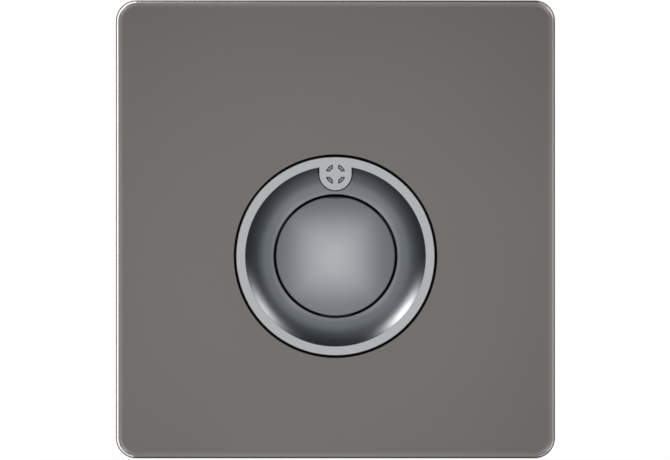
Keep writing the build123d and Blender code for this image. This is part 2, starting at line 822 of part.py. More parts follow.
# Earth terminal: a brass block on the back of the yoke, with its clamping screw
earth_plane = Plane((earth_x, 0, earth_z), x_dir=(1, 0, 0), z_dir=(0, 1, 0))
with BuildPart() as earth_terminal:
    with BuildSketch(earth_plane):
        Rectangle(earth_size, earth_size)
    extrude(amount=earth_deep)
    with BuildSketch(Plane((earth_x, wire_inset, earth_z), x_dir=(1, 0, 0), z_dir=(0, 0, -1))):
        Circle(wire_radius)
    extrude(amount=earth_size, both=True, mode=Mode.SUBTRACT)
    with BuildSketch(earth_plane.offset(earth_deep)):
        Circle(terminal_screw_radius + screw_fit)
    extrude(amount=wire_inset - earth_deep, mode=Mode.SUBTRACT)
earth_terminal.part.label = "earth_terminal"
export_step(earth_terminal.part, "parts/earth_terminal.step")

with BuildPart() as earth_screw:
    with BuildSketch(earth_plane.offset(earth_deep + terminal_stand)):
        Circle(terminal_head_radius)
    extrude(amount=terminal_head_height)
    with BuildSketch(earth_plane.offset(earth_deep + terminal_stand + terminal_head_height)):
        Rectangle(2 * terminal_head_radius, drive_slot_width)
    extrude(amount=-drive_slot_depth, mode=Mode.SUBTRACT)
    with BuildSketch(earth_plane.offset(earth_deep + terminal_stand)):
        Circle(terminal_screw_radius)
    extrude(amount=wire_inset + wire_radius + screw_fit - earth_deep - terminal_stand)
earth_screw.part.label = "earth_screw"
export_step(earth_screw.part, "parts/earth_screw.step")
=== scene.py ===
import json
import math

import bmesh
import bpy
import numpy as np
from mathutils import Matrix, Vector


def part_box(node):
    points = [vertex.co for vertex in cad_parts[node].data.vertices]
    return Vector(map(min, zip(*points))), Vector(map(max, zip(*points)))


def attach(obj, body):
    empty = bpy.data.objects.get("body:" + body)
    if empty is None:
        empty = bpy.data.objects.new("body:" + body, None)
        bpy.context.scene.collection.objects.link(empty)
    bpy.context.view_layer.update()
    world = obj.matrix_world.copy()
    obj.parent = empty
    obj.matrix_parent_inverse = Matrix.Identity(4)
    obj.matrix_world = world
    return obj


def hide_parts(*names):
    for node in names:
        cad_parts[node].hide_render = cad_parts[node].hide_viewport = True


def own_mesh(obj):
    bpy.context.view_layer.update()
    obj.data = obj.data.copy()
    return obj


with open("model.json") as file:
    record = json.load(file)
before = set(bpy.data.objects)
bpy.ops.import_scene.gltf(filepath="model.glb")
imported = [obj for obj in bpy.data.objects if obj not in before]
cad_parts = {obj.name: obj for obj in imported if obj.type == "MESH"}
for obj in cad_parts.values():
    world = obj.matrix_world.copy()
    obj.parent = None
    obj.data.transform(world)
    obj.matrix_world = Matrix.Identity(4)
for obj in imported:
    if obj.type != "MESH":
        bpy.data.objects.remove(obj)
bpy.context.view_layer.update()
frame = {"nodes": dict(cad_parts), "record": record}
nodes = frame["nodes"]
scene = bpy.context.scene
mm = 0.001
print("frame loaded:", len(nodes), "nodes")

# Places read from the frame, in metres. The viewer looks along +Y, so a height above the wall is -Y.
plateLow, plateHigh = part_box("front_plate")
bezelLow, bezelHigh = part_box("bezel")
ringRadius = (bezelHigh.x - bezelLow.x) / 2
moduleX = (bezelLow.x + bezelHigh.x) / 2
moduleZ = bezelHigh.z - ringRadius
boardLow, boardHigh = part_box("circuit_board")


class Wire:
    # A socket in a node tree. Sums and products of wires add Math nodes.
    def __init__(self, tree, socket=None):
        self.tree = tree
        self.socket = socket

    def node(self, kind, settings=None, sockets=None, out=0):
        # Any node: its type, its settings, which are set first, then values or links for its sockets
        made = self.tree.nodes.new(kind)
        for name, value in (settings or {}).items():
            if name == "stops":
                ramp = made.color_ramp.elements
                for place, shade in value[2:]:  # a fresh ramp has two stops
                    ramp.new(place)
                for element, (place, shade) in zip(ramp, value):
                    element.position = place
                    element.color = shade
            else:
                setattr(made, name, value)
        for name, value in (sockets or {}).items():
            if isinstance(value, Wire):
                self.tree.links.new(value.socket, made.inputs[name])
            else:
                made.inputs[name].default_value = value
        return Wire(self.tree, made.outputs[out] if len(made.outputs) else None)

    def pick(self, out):
        # another output of the node that this wire leaves
        return Wire(self.tree, self.socket.node.outputs[out])

    def maths(self, operation, *values):
        return self.node("ShaderNodeMath", {"operation": operation}, dict(enumerate(values)))

    def __add__(self, other):
        return self.maths("ADD", self, other)

    def __radd__(self, other):
        return self.maths("ADD", other, self)

    def __sub__(self, other):
        return self.maths("SUBTRACT", self, other)

    def __rsub__(self, other):
        return self.maths("SUBTRACT", other, self)

    def __mul__(self, other):
        return self.maths("MULTIPLY", self, other)

    def __rmul__(self, other):
        return self.maths("MULTIPLY", other, self)

    def __truediv__(self, other):
        return self.maths("DIVIDE", self, other)

    def size(self):
        return self.maths("ABSOLUTE", self)

    def step(self, low, high):
        # 0 below low, 1 above high, smooth between
        return self.node(
            "ShaderNodeMapRange",
            {"interpolation_type": "SMOOTHSTEP"},
            {"Value": self, "From Min": low, "From Max": high},
        )

    def between(self, low, high):
        # a 0 to 1 value spread over low to high
        return self.node("ShaderNodeMapRange", {}, {"Value": self, "To Min": low, "To Max": high})

    def blend(self, first, second):
        # this wire mixes two colours
        return self.node("ShaderNodeMix", {"data_type": "RGBA"}, {0: self, 6: first, 7: second}, out=2)

    def parts(self):
        # the three components of a vector
        split = self.node("ShaderNodeSeparateXYZ", {}, {0: self})
        return split, split.pick(1), split.pick(2)


def colour(red, green, blue):
    return (red, green, blue, 1.0)


def tinted(shade, factor):
    return colour(*(part * factor for part in shade[:3]))


def varied(mask, shade, spread):
    # a shade that a mask makes darker and lighter by a share of itself
    return mask.blend(tinted(shade, 1 - spread), tinted(shade, 1 + spread))


# Finishes
def startFinish(name):
    # a fresh material, its tree and the Object coordinates of the piece that carries it
    made = bpy.data.materials.new(name)
    made.use_nodes = True
    made.node_tree.nodes.clear()
    start = Wire(made.node_tree)
    place = start.node("ShaderNodeTexCoord", out="Object")
    return made, start, place


def scaled(place, factors):
    return place.node("ShaderNodeMapping", {}, {"Vector": place, "Scale": factors})


def cloudy(place, grain, detail=2.0, rough=0.5):
    # soft noise with spots about as large as grain, in metres
    return place.node(
        "ShaderNodeTexNoise",
        {"noise_dimensions": "3D"},
        {"Vector": place, "Scale": 1 / grain, "Detail": detail, "Roughness": rough},
    )


def awayFrom(x, z, middle):
    # distance from a line along Y
    x, z = x - middle[0], z - middle[1]
    return x.maths("SQRT", x * x + z * z)


def bumped(height, strength, distance):
    return height.node("ShaderNodeBump", {}, {"Height": height, "Strength": strength, "Distance": distance})


def endFinish(start, sockets):
    # the shader and the output
    shader = start.node("ShaderNodeBsdfPrincipled", {}, sockets)
    start.node("ShaderNodeOutputMaterial", {}, {"Surface": shader})


plateLook = {
    "shade": colour(0.1785, 0.1635, 0.1545),
    "paintedCornerShade": 0.24,  # painted shade: how much darker the far corners are
    "paintedLitMiddle": (-4 * mm, -10 * mm),
    "paintedShadeOver": (22 * mm, 80 * mm),  # distances from that painted lit middle, over which the painted shade grows
    "cloud": 26 * mm,
    "cloudTint": 0.03,
    "roughness": 0.2,
    "roughnessSpread": 0.05,
    "grain": 0.22 * mm,
    "grainBump": 0.03,
    "grainDepth": 0.022 * mm,
    "rimTint": colour(0.5, 0.5, 0.5),
}


def darkNickel():
    # Plated sheet: slow clouds of tone, a fine satin grain, and painted shade that darkens it away from a
    # painted lit middle a little low and left, towards the corners
    made, start, place = startFinish("dark_nickel_plate")
    look = plateLook
    cloud = cloudy(place, look["cloud"], detail=3.0)
    grain = cloudy(place, look["grain"], detail=1.0)
    x, y, z = place.parts()
    # painted shade: darker with distance from a painted lit middle
    away = awayFrom(x, z, look["paintedLitMiddle"]).step(*look["paintedShadeOver"])
    light = varied(cloud, look["shade"], look["cloudTint"])
    shade = (away * look["paintedCornerShade"]).blend(light, colour(0, 0, 0))
    rough = look["roughness"] + (grain - 0.5) * look["roughnessSpread"]
    normal = bumped(grain, look["grainBump"], look["grainDepth"])
    endFinish(
        start,
        {
            "Base Color": shade,
            "Metallic": 1.0,
            "Roughness": rough,
            "Specular Tint": look["rimTint"],
            "Normal": normal,
        },
    )
    return made


silverLook = {
    "shade": colour(0.474, 0.479, 0.495),
    "bare": colour(0.012, 0.012, 0.013),
    "bareRoughness": 0.3,  # added where there is no plating
    "platedOver": (1.32 * mm, 1.38 * mm),  # heights over which the plating begins
    "cloud": 9 * mm,
    "cloudTint": 0.02,
    "roughness": 0.19,
    "roughnessSpread": 0.05,
    "grain": 0.12 * mm,
    "grainBump": 0.03,
    "grainDepth": 0.012 * mm,
    # the bezel's flat front, at these heights
    "faceShade": colour(0.81, 0.797, 0.808),
    "faceRoughness": 0.5,
    "faceOver": (-bezelLow.y - 0.04 * mm, -bezelLow.y - 0.01 * mm),
    # distances from the module's axis: the steep part of the dish, the ring and the ring's outer rounding;
    # the dish and the rounding carry painted shade
    "dishPaintedShade": 0.5,
    "dishFrom": (13.7 * mm, 15.7 * mm),
    "dishTo": (17.7 * mm, 17.9 * mm),
    "ringFrom": (17.66 * mm, 17.78 * mm),
    # painted shade on the ring's outer rounding, next to the dark gap
    "ringEdgePaintedShade": 0.3,
    "edgeFrom": (ringRadius - 0.16 * mm, ringRadius - 0.06 * mm),
    # distances from the lug's middle line: its sloped rim, which carries painted shade
    "rimTint": 0.45,
    "rimFrom": (3.08 * mm, 3.14 * mm),
    "rimTo": (3.35 * mm, 3.4 * mm),
    "lugZ": moduleZ + 16.05 * mm,
}


def satinSilver():
    # Plated moulding: an even satin with a very fine grain. The bezel's flat front is paler and rougher, the
    # steep part of its dish and its rims are darkened with painted shade, and the feet behind the front are
    # left unplated.
    made, start, place = startFinish("satin_silver")
    look = silverLook
    cloud = cloudy(place, look["cloud"])
    grain = cloudy(place, look["grain"], detail=1.0)
    x, y, z = place.parts()
    plated = (0 - y).step(*look["platedOver"])
    away = awayFrom(x, z, (moduleX, moduleZ))
    edge = away.step(*look["edgeFrom"])
    inside = 1 - away.step(*look["dishTo"])
    fromLug = awayFrom(x, z.maths("MINIMUM", z, look["lugZ"]), (moduleX, look["lugZ"]))
    rim = fromLug.step(*look["rimFrom"]) * (1 - fromLug.step(*look["rimTo"])) * inside
    flat = start.maths("MAXIMUM", away.step(*look["ringFrom"]), 1 - fromLug.step(*look["rimFrom"]))
    face = (0 - y).step(*look["faceOver"]) * flat * (1 - edge)
    bright = varied(cloud, look["shade"], look["cloudTint"])
    rough = look["roughness"] + (grain - 0.5) * look["roughnessSpread"]
    rough = rough + (1 - plated) * look["bareRoughness"]
    rough = rough + face * (look["faceRoughness"] - look["roughness"])
    # painted shade: the steep part of the dish is darker than the rest of the plated wall
    dishShadeMask = away.step(*look["dishFrom"]) * inside
    wall = dishShadeMask.blend(bright, tinted(look["shade"], look["dishPaintedShade"]))
    # painted shade: the ring's outer rounding, next to the gap, is darker
    wall = edge.blend(wall, tinted(look["shade"], look["ringEdgePaintedShade"]))
    # painted shade: the lug's sloped rim is darker, drawing a dark outline round the lug
    wall = rim.blend(wall, tinted(look["shade"], look["rimTint"]))
    shade = plated.blend(look["bare"], face.blend(wall, look["faceShade"]))
    normal = bumped(grain, look["grainBump"], look["grainDepth"])
    endFinish(start, {"Base Color": shade, "Metallic": plated, "Roughness": rough, "Normal": normal})
    return made


mouldingLook = {
    "black_moulding": {
        "shade": colour(0.02, 0.02, 0.021),
        "grain": 0.16 * mm, "roughness": 0.46, "bump": 0.35, "shine": 0.2,
    },
    "white_moulding": {
        "shade": colour(0.72, 0.71, 0.68),
        "grain": 0.2 * mm, "roughness": 0.38, "bump": 0.15, "shine": 0.5,
    },
    "relay_case": {
        "shade": colour(0.05, 0.12, 0.32),
        "grain": 0.3 * mm, "roughness": 0.3, "bump": 0.1, "shine": 0.5,
    },
    "film_capacitor_case": {
        "shade": colour(0.55, 0.38, 0.06),
        "grain": 0.4 * mm, "roughness": 0.25, "bump": 0.1, "shine": 0.5,
    },
    "capacitor_sleeve": {
        "shade": colour(0.03, 0.03, 0.05),
        "grain": 0.5 * mm, "roughness": 0.3, "bump": 0.12, "shine": 0.5,
    },
    "preset_body": {
        "shade": colour(0.04, 0.1, 0.35),
        "grain": 0.25 * mm, "roughness": 0.35, "bump": 0.1, "shine": 0.5,
    },
    "resistor_enamel": {
        "shade": colour(0.5, 0.38, 0.24),
        "grain": 0.2 * mm, "roughness": 0.3, "bump": 0.1, "shine": 0.5,
    },
}
# what all mouldings share: the grain's depth is a share of its size
mouldingMarks = {
    "grainRough": 0.6,
    "grainDepth": 1 / 8,
    "roughnessSpread": 0.16,
    "flow": 6 * mm,
    "flowStretch": (1, 1, 0.35),
    "flowTint": 0.12,
}


def moulding(name):
    # Moulded plastic: spark-eroded grain in bump and roughness, slow flow marks in the tone
    made, start, place = startFinish(name)
    look, marks = mouldingLook[name], mouldingMarks
    grain = cloudy(place, look["grain"], rough=marks["grainRough"])
    flow = cloudy(scaled(place, marks["flowStretch"]), marks["flow"])
    shade = varied(flow, look["shade"], marks["flowTint"])
    rough = look["roughness"] + (grain - 0.5) * marks["roughnessSpread"]
    normal = bumped(grain, look["bump"], look["grain"] * marks["grainDepth"])
    endFinish(
        start,
        {"Base Color": shade, "Roughness": rough, "Specular IOR Level": look["shine"], "Normal": normal},
    )
    return made


sheetLook = {
    "shade": colour(0.56, 0.57, 0.58),
    "tint": colour(0.55, 0.552, 0.535),
    "roughness": 0.36,
    "roll": 0.25 * mm,
    "rollStretch": (1, 1, 0.03),
    "rollRoughness": 0.22,
    "rollBump": 0.12,
    "rollDepth": 0.01 * mm,
    "cloud": 11 * mm,
    "cloudRough": 0.6,
    "cloudOver": (0.42, 0.75),
    "cloudRoughness": 0.1,
}


def zincSheet():
    # Zinc plated strip: rolling lines along Z, a faint tint in clouds
    made, start, place = startFinish("zinc_steel")
    look = sheetLook
    lines = cloudy(scaled(place, look["rollStretch"]), look["roll"], detail=3.0)
    cloud = cloudy(place, look["cloud"], detail=3.0, rough=look["cloudRough"])
    shade = cloud.step(*look["cloudOver"]).blend(look["shade"], look["tint"])
    rough = look["roughness"] + (lines - 0.5) * look["rollRoughness"]
    rough = rough + (cloud - 0.5) * look["cloudRoughness"]
    normal = bumped(lines, look["rollBump"], look["rollDepth"])
    endFinish(start, {"Base Color": shade, "Metallic": 1.0, "Roughness": rough, "Normal": normal})
    return made


metalLook = {
    "screw_steel": {"shade": colour(0.58, 0.57, 0.55), "worn": colour(0.42, 0.4, 0.36), "grain": 0.3 * mm},
    "spring_steel": {"shade": colour(0.44, 0.44, 0.45), "worn": colour(0.3, 0.3, 0.31), "grain": 0.2 * mm},
    "terminal_brass": {
        "shade": colour(0.72, 0.52, 0.22), "worn": colour(0.5, 0.33, 0.12), "grain": 0.5 * mm,
    },
}
# what all of these metals share: tool marks and spots are shares or multiples of the grain
metalMarks = {
    "roughness": 0.3,
    "tool": 1 / 4,
    "toolStretch": (0.12, 1, 1),
    "toolRoughness": 0.2,
    "toolBump": 0.15,
    "toolDepth": 0.01 * mm,
    "spot": 4,
    "spotRough": 0.6,
    "spotOver": (0.5, 0.8),
    "spotRoughness": 0.12,
}


def smallMetal(name):
    # Turned and drawn metal: tool marks across X, darker spots where the plating is thin
    made, start, place = startFinish(name)
    look, marks = metalLook[name], metalMarks
    tool = cloudy(scaled(place, marks["toolStretch"]), look["grain"] * marks["tool"])
    spots = cloudy(place, look["grain"] * marks["spot"], detail=3.0, rough=marks["spotRough"])
    shade = spots.step(*marks["spotOver"]).blend(look["shade"], look["worn"])
    rough = marks["roughness"] + (tool - 0.5) * marks["toolRoughness"]
    rough = rough + (spots - 0.5) * marks["spotRoughness"]
    normal = bumped(tool, marks["toolBump"], marks["toolDepth"])
    endFinish(start, {"Base Color": shade, "Metallic": 1.0, "Roughness": rough, "Normal": normal})
    return made


guideLook = {
    "shade": colour(0.56, 0.567, 0.58),
    "paintedRecessShade": colour(0.03, 0.031, 0.033),
    "frostFrom": 0.12 * mm,  # depths below the pips' tops between which the frosting ends and painted shade begins
    "frostTo": 0.3 * mm,
    "roughness": 0.35,
    "roughnessSpread": 0.2,
    "grain": 0.1 * mm,
    "grainTint": 0.05,
    "grainBump": 0.2,
    "grainDepth": 0.01 * mm,
    "clear": 0.1,
    "bend": 1.49,
}
guideTop = -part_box("light_guide")[0].y


def frostedGuide():
    # Clear moulding whose pips are frosted at the top; below the tops it is painted dark as shade in the
    # narrow gaps round the pips
    made, start, place = startFinish("frosted_guide")
    look = guideLook
    grain = cloudy(place, look["grain"])
    x, y, z = place.parts()
    frost = (0 - y).step(guideTop - look["frostTo"], guideTop - look["frostFrom"])
    # painted shade: the guide turns dark below the pips' tops
    shade = frost.blend(look["paintedRecessShade"], varied(grain, look["shade"], look["grainTint"]))
    rough = look["roughness"] + (grain - 0.5) * look["roughnessSpread"]
    normal = bumped(grain, look["grainBump"], look["grainDepth"])
    endFinish(
        start,
        {
            "Base Color": shade,
            "Roughness": rough,
            "Transmission Weight": look["clear"],
            "IOR": look["bend"],
            "Normal": normal,
        },
    )
    return made


lensLook = {
    "shade": colour(0.6, 0.14, 0.05),
    "roughness": 0.15,
    "roughnessSpread": 0.06,
    "grain": 0.4 * mm,
    "grainTint": 0.15,
    "clear": 0.4,
    "bend": 1.54,
}


def lampLens():
    # Tinted clear epoxy
    made, start, place = startFinish("lamp_lens")
    look = lensLook
    grain = cloudy(place, look["grain"])
    shade = varied(grain, look["shade"], look["grainTint"])
    rough = look["roughness"] + grain * look["roughnessSpread"]
    endFinish(
        start,
        {"Base Color": shade, "Roughness": rough, "Transmission Weight": look["clear"], "IOR": look["bend"]},
    )
    return made


boardLook = {
    "mask": colour(0.03, 0.16, 0.07),
    "track": colour(0.06, 0.24, 0.11),
    "core": colour(0.42, 0.36, 0.2),
    "coreTint": 0.7,
    "roughness": 0.3,
    "trackPitch": 1.9 * mm,
    "trackWidth": 0.3,  # a share of the pitch, and so is the softness of its sides
    "trackSide": 0.08,
    "trackHeight": 0.8,
    "turn": 7 * mm,  # size of the areas in which the tracks run straight or slanted
    "turnOver": (0.45, 0.5),
    "weave": 0.5 * mm,
    "weaveHeight": 0.2,
    "weaveRoughness": 0.15,
    "bump": 0.3,
    "bumpDepth": 0.03 * mm,
    "faceOver": (0.48, 0.49),  # shares of the thickness, from the middle, where the mask begins
}


def boardLaminate():
    # Solder mask over tracks that run in stepped lines, bare glass laminate on the edge
    made, start, place = startFinish("board_laminate")
    look = boardLook
    x, y, z = place.parts()
    turns = cloudy(scaled(place, (1, 0, 1)), look["turn"], detail=0.0)  # alike on both faces
    lane = (x + turns.step(*look["turnOver"]) * z) / look["trackPitch"]
    wave = start.maths("PINGPONG", lane, 1.0)
    track = wave.step(1 - look["trackWidth"] - look["trackSide"], 1 - look["trackWidth"])
    weave = cloudy(place, look["weave"])
    thick, middle = boardHigh.y - boardLow.y, (boardLow.y + boardHigh.y) / 2
    onFace = (y - middle).size().step(*(thick * share for share in look["faceOver"]))
    face = track.blend(look["mask"], look["track"])
    shade = onFace.blend(weave.blend(tinted(look["core"], look["coreTint"]), look["core"]), face)
    rough = look["roughness"] + weave * look["weaveRoughness"]
    height = track * look["trackHeight"] + weave * look["weaveHeight"]
    normal = bumped(height, look["bump"], look["bumpDepth"])
    endFinish(start, {"Base Color": shade, "Roughness": rough, "Normal": normal})
    return made


finishes = {
    "dark_nickel_plate": darkNickel(),
    "satin_silver": satinSilver(),
    "zinc_steel": zincSheet(),
    "frosted_guide": frostedGuide(),
    "lamp_lens": lampLens(),
    "board_laminate": boardLaminate(),
}
finishes.update({name: moulding(name) for name in mouldingLook})
finishes.update({name: smallMetal(name) for name in metalLook})
slotOf = {part["node"]: part["material_slot"] for part in frame["record"]["subparts"]}
bodyOf = {}
for body, members in frame["record"]["behaviour"]["bodies"].items():
    bodyOf.update(dict.fromkeys(members, body))
for name, piece in nodes.items():
    piece.data.materials.clear()
    piece.data.materials.append(finishes[slotOf[name]])
print("finishes made:", len(finishes))


# Pieces worked out as grids of points
def gridPiece(name, *grids, around=True, sharp=35, weld=0.0001 * mm):
    # Each grid is rows by columns of points. Its quads join neighbours, and where it runs around, the last
    # column to the first. Poles and doubled points are merged and the faces turned outwards.
    points, faces, count = [], [], 0
    for grid in grids:
        rows, columns = grid.shape[:2]
        row = np.arange(rows - 1)[:, None] * columns
        column = np.arange(columns if around else columns - 1)[None, :]
        beside = (column + 1) % columns
        corners = (row + column, row + columns + column, row + columns + beside, row + beside)
        faces.append(np.stack(np.broadcast_arrays(*corners), axis=-1).reshape(-1, 4) + count)
        points.append(grid.reshape(-1, 3))
        count += rows * columns
    mesh = bpy.data.meshes.new(name)
    mesh.from_pydata(np.concatenate(points).tolist(), [], np.concatenate(faces).tolist())
    work = bmesh.new()
    work.from_mesh(mesh)
    bmesh.ops.remove_doubles(work, verts=work.verts, dist=weld)
    bmesh.ops.recalc_face_normals(work, faces=work.faces)
    work.to_mesh(mesh)
    work.free()
    mesh.polygons.foreach_set("use_smooth", np.full(len(mesh.polygons), True))
    mesh.set_sharp_from_angle(angle=math.radians(sharp))
    piece = bpy.data.objects.new(name, mesh)
    scene.collection.objects.link(piece)
    return piece


def standFor(piece, node):
    # the piece takes the node's place, body and finish
    piece.data.materials.clear()
    piece.data.materials.append(finishes[slotOf[node]])
    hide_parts(node)
    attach(piece, bodyOf[node])


def turned(profile, angle, reach=0.0):
    # Rows of radius and height, carried round the module axis through every angle
    radius = profile[:, :1] + reach
    across = moduleX + radius * np.cos(angle)
    upward = moduleZ + radius * np.sin(angle)
    return np.stack((across, np.broadcast_to(-profile[:, 1:2], across.shape), upward), axis=-1)


buttonLook = {
    "radius": 11.65 * mm,
    "domeRise": 1.8 * mm,
    "edge": 0.25 * mm,
    "wall": 0.9 * mm,
    "skirtInner": 10.45 * mm,
    "skirtDrop": 3.1 * mm,  # from the rim to the foot
    "catchReach": 0.85 * mm,
    "catchHeight": 1.2 * mm,
    "catchHalfWidth": 3.0 * mm,
    "catchTurns": (30, 150, 270),
    "catchSide": 0.01,  # degrees over which a catch steps out
    "collarOuter": 6.3 * mm,
    "collarInner": 5.4 * mm,
    "collarDrop": 0.8 * mm,
    "stem": 2.0 * mm,
    "rows": 48,
    "edgeRows": 9,
    "columns": 180,
}


def pushButton():
    # A dome, part of a sphere, runs over a small rounded edge into the skirt. Skirt, collar and stem are
    # turned with it. On the columns of a catch the skirt's foot stands out by the catch's reach.
    look = buttonLook
    low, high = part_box("push_button")
    crown, stemFoot = -low.y, -high.y
    radius, edge = look["radius"], look["edge"]
    sphere = (radius**2 + look["domeRise"] ** 2) / (2 * look["domeRise"])
    meets = math.asin((radius - edge) / (sphere - edge))  # slope where the dome meets its edge
    slope = np.linspace(0, meets, look["rows"])
    dome = np.stack((sphere * np.sin(slope), crown - sphere * (1 - np.cos(slope))), axis=1)
    slope = np.linspace(meets, math.pi / 2, look["edgeRows"])[1:]
    edgeHeight = crown - sphere + (sphere - edge) * math.cos(meets)
    rounded = np.stack((radius - edge + edge * np.sin(slope), edgeHeight + edge * np.cos(slope)), axis=1)
    rim = crown - look["domeRise"]
    ceiling, foot = rim - look["wall"], rim - look["skirtDrop"]
    shoulder, collarFoot = foot + look["catchHeight"], ceiling - look["collarDrop"]
    catch = np.array(((radius, shoulder), (radius, shoulder), (radius, foot)))
    under = np.array(
        (
            (look["skirtInner"], foot),
            (look["skirtInner"], ceiling),
            (look["collarOuter"], ceiling),
            (look["collarOuter"], collarFoot),
            (look["collarInner"], collarFoot),
            (look["collarInner"], ceiling),
            (look["stem"], ceiling),
            (look["stem"], stemFoot),
            (0, stemFoot),
        )
    )
    profile = np.concatenate((dome, rounded, catch, under))
    half, side = math.degrees(math.asin(look["catchHalfWidth"] / radius)), look["catchSide"]
    middles = np.array(look["catchTurns"])
    sides = (middles[:, None] + np.array((-half - side, -half, half, half + side))).ravel()
    turn = np.sort(np.concatenate((np.arange(0, 360, 360 / look["columns"]), sides % 360)))
    fromMiddle = np.abs((turn - middles[:, None] + 180) % 360 - 180).min(axis=0)
    onCatch = fromMiddle <= half + side / 2
    reach = np.zeros((len(profile), len(turn)))
    first = len(dome) + len(rounded) + 1
    reach[first : first + 2] = onCatch * look["catchReach"]
    piece = gridPiece("button_cap", turned(profile, np.radians(turn), reach))
    standFor(piece, "push_button")


pushButton()

springLook = {"wire": 0.3 * mm, "turns": 3.5, "closing": 0.8, "steps": 260, "sides": 14, "keep": 0.762}


def returnSpring():
    # Round wire along a helix about the module axis, whose pitch is small at both ends: the height follows
    # t - closing * sin(2 pi t) / (2 pi). The end rows shrink to the wire's middle.
    look = springLook
    low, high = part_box("return_spring")
    wire = look["wire"]
    coil = (high.x - low.x) / 2 - wire
    t = np.linspace(0, 1, look["steps"])
    turn = 2 * math.pi * look["turns"] * t
    rise = t - look["closing"] * np.sin(2 * math.pi * t) / (2 * math.pi)
    y = high.y - wire - (high.y - low.y - 2 * wire) * rise
    middle = np.stack((moduleX + coil * np.cos(turn), y, moduleZ + coil * np.sin(turn)), axis=-1)
    out = np.stack((np.cos(turn), np.zeros_like(turn), np.sin(turn)), axis=-1)
    along = np.gradient(middle, axis=0)
    along /= np.linalg.norm(along, axis=1, keepdims=True)
    across = np.cross(along, out)
    around = np.linspace(0, 2 * math.pi, look["sides"], endpoint=False)[None, :, None]
    ring = out[:, None] * np.cos(around) + across[:, None] * np.sin(around)
    grid = middle[:, None] + wire * ring
    ends = np.broadcast_to(middle[:, None], grid.shape)
    piece = gridPiece("coil_spring", np.concatenate((ends[:1], grid, ends[-1:])), sharp=60)
    standFor(piece, "return_spring")
    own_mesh(piece)


returnSpring()

screwLook = {
    "terminal_screws": {
        "count": 3, "head": 2.3 * mm, "tall": 1.8 * mm, "shank": 1.35 * mm, "slotTurn": 0, "faces": 1,
    },
    "earth_screw": {
        "count": 1, "head": 2.3 * mm, "tall": 1.8 * mm, "shank": 1.35 * mm, "slotTurn": 0, "faces": 1,
    },
    "case_screws": {
        "count": 2, "head": 2.3 * mm, "tall": 1.2 * mm, "shank": 1.2 * mm, "slotTurn": 90, "faces": 1,
    },
    "module_screws": {
        "count": 2, "head": 2.1 * mm, "tall": 1.2 * mm, "shank": 1.2 * mm, "slotTurn": 90, "faces": -1,
    },
}
headLook = {
    "slotHalfWidth": 0.35 * mm,
    "slotDepth": 0.8 * mm,
    "crown": 0.35,
    "sideSlices": 14,
    "slotSlices": 4,
    "points": 21,
}
threadLook = {"pitch": 0.6 * mm, "depth": 0.16 * mm, "rowsPerPitch": 8, "leastRows": 12, "sides": 24}


def screwHead(look):
    # Slices along the slot, each a closed loop: over the top, whose height falls from the middle with the
    # fourth power of the radius, and back along the flat underside. The slot's own slices lie lower.
    head, sideSlices, slotSlices = look["head"], headLook["sideSlices"], headLook["slotSlices"]
    edge = math.asin(headLook["slotHalfWidth"] / head)
    outside = np.linspace(edge, math.pi / 2, sideSlices)
    turn = np.concatenate((-outside[::-1], np.linspace(-edge, edge, slotSlices), outside))
    inSlot = np.zeros(len(turn), bool)
    inSlot[sideSlices : sideSlices + slotSlices] = True
    over = np.linspace(-1, 1, headLook["points"])
    u = np.concatenate((over, over[::-1]))
    onTop = np.arange(len(u)) < len(over)
    across = head * np.cos(turn)[:, None] * u
    beside = np.broadcast_to(head * np.sin(turn)[:, None], across.shape)
    fall = headLook["crown"] * ((across**2 + beside**2) / head**2) ** 2
    top = look["tall"] * (1 - fall)
    floor = look["tall"] - headLook["slotDepth"]
    height = np.where(inSlot[:, None], np.minimum(top, floor), top) * onTop
    return across, beside, height


def screwShank(look, length):
    # A turned shank whose radius dips with a helix: depth * (1 + cos(2 pi height / pitch - turn)) / 2
    pitch = threadLook["pitch"]
    rows = max(threadLook["leastRows"], int(length / pitch * threadLook["rowsPerPitch"]))
    height = np.linspace(0, -length, rows)[:, None]
    turn = np.linspace(0, 2 * math.pi, threadLook["sides"], endpoint=False)
    dip = (1 + np.cos(2 * math.pi * height / pitch - turn)) / 2
    radius = look["shank"] - threadLook["depth"] * dip
    radius[0], radius[-1] = 0, 0
    height[1], height[-2] = height[0], height[-1]
    return radius * np.cos(turn), radius * np.sin(turn), np.broadcast_to(height, radius.shape)


def slottedScrews(node):
    # Heads face the wall's side or the viewer's side; the places come from the node's box
    look = screwLook[node]
    low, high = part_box(node)
    slotTurn = math.radians(look["slotTurn"])
    seat = high.y - look["tall"] if look["faces"] > 0 else low.y + look["tall"]
    length = high.y - low.y - look["tall"]
    grids = []
    for x in np.linspace(low.x + look["head"], high.x - look["head"], look["count"]):
        for across, beside, height in (screwHead(look), screwShank(look, length)):
            right = across * math.cos(slotTurn) - beside * math.sin(slotTurn)
            upward = across * math.sin(slotTurn) + beside * math.cos(slotTurn)
            grids.append(
                np.stack((x + right, seat + look["faces"] * height, (low.z + high.z) / 2 + upward), axis=-1)
            )
    piece = gridPiece("slotted_" + node, *grids)
    standFor(piece, node)


for node in screwLook:
    slottedScrews(node)
print("pieces made: button, spring and", len(screwLook), "sets of screws")

# Pieces that keep the CAD form, with their edges broken: how wide each edge is
edgeLook = {
    "module_case": 0.25 * mm,
    "mounting_yoke": 0.15 * mm,
    "earth_terminal": 0.25 * mm,
    "terminal_clamps": 0.2 * mm,
    "time_adjuster": 0.15 * mm,
    "plate_liner": 0.12 * mm,
}
bevelLook = {"weld": 0.001 * mm, "flatAngle": 1, "sharpAngle": 40, "segments": 2}


